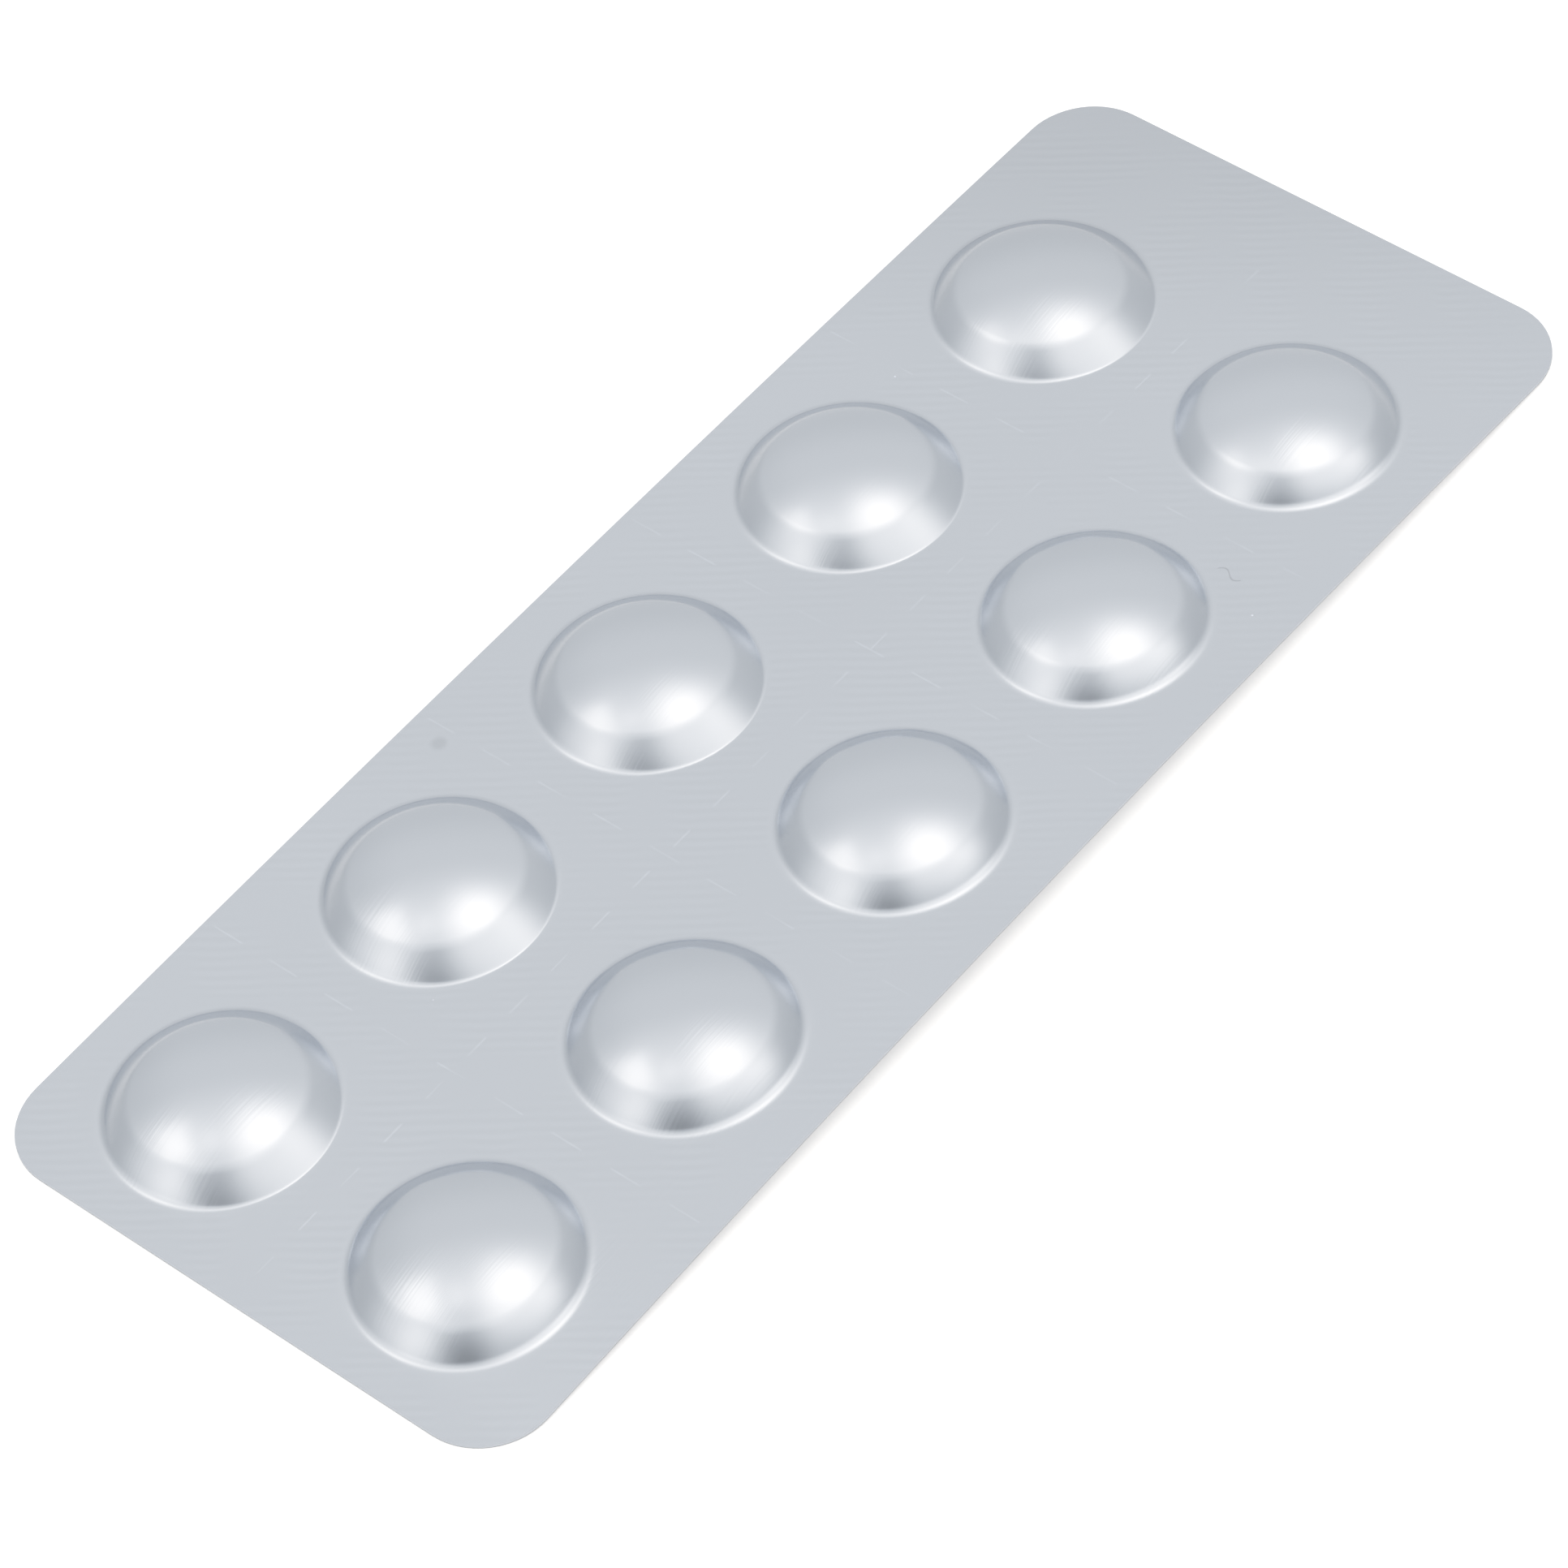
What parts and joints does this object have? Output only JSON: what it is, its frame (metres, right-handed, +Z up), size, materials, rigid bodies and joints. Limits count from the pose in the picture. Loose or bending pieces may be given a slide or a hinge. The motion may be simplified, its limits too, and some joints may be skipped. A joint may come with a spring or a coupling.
{
  "type": "blister pack of tablets",
  "caption": "Bowed metal foil strip with rows of round domed pockets, each sealed over a tablet, and a blank end tab; it lies flat with its domes up.",
  "frame": {"origin": "middle of the strip's length and width, on the surface that its short ends rest on", "axes": "+X along the strip towards its blank end tab, +Y across the strip, +Z up through the crowns of the domes"},
  "size_m": [0.1, 0.0384, 0.0037],
  "materials": {
    "aluminium_foil": "satin cold-formed foil, faintly knurled where it is sealed"
  },
  "bodies": {
    "root": {"blister_pack": "aluminium_foil"}
  },
  "joints": []
}
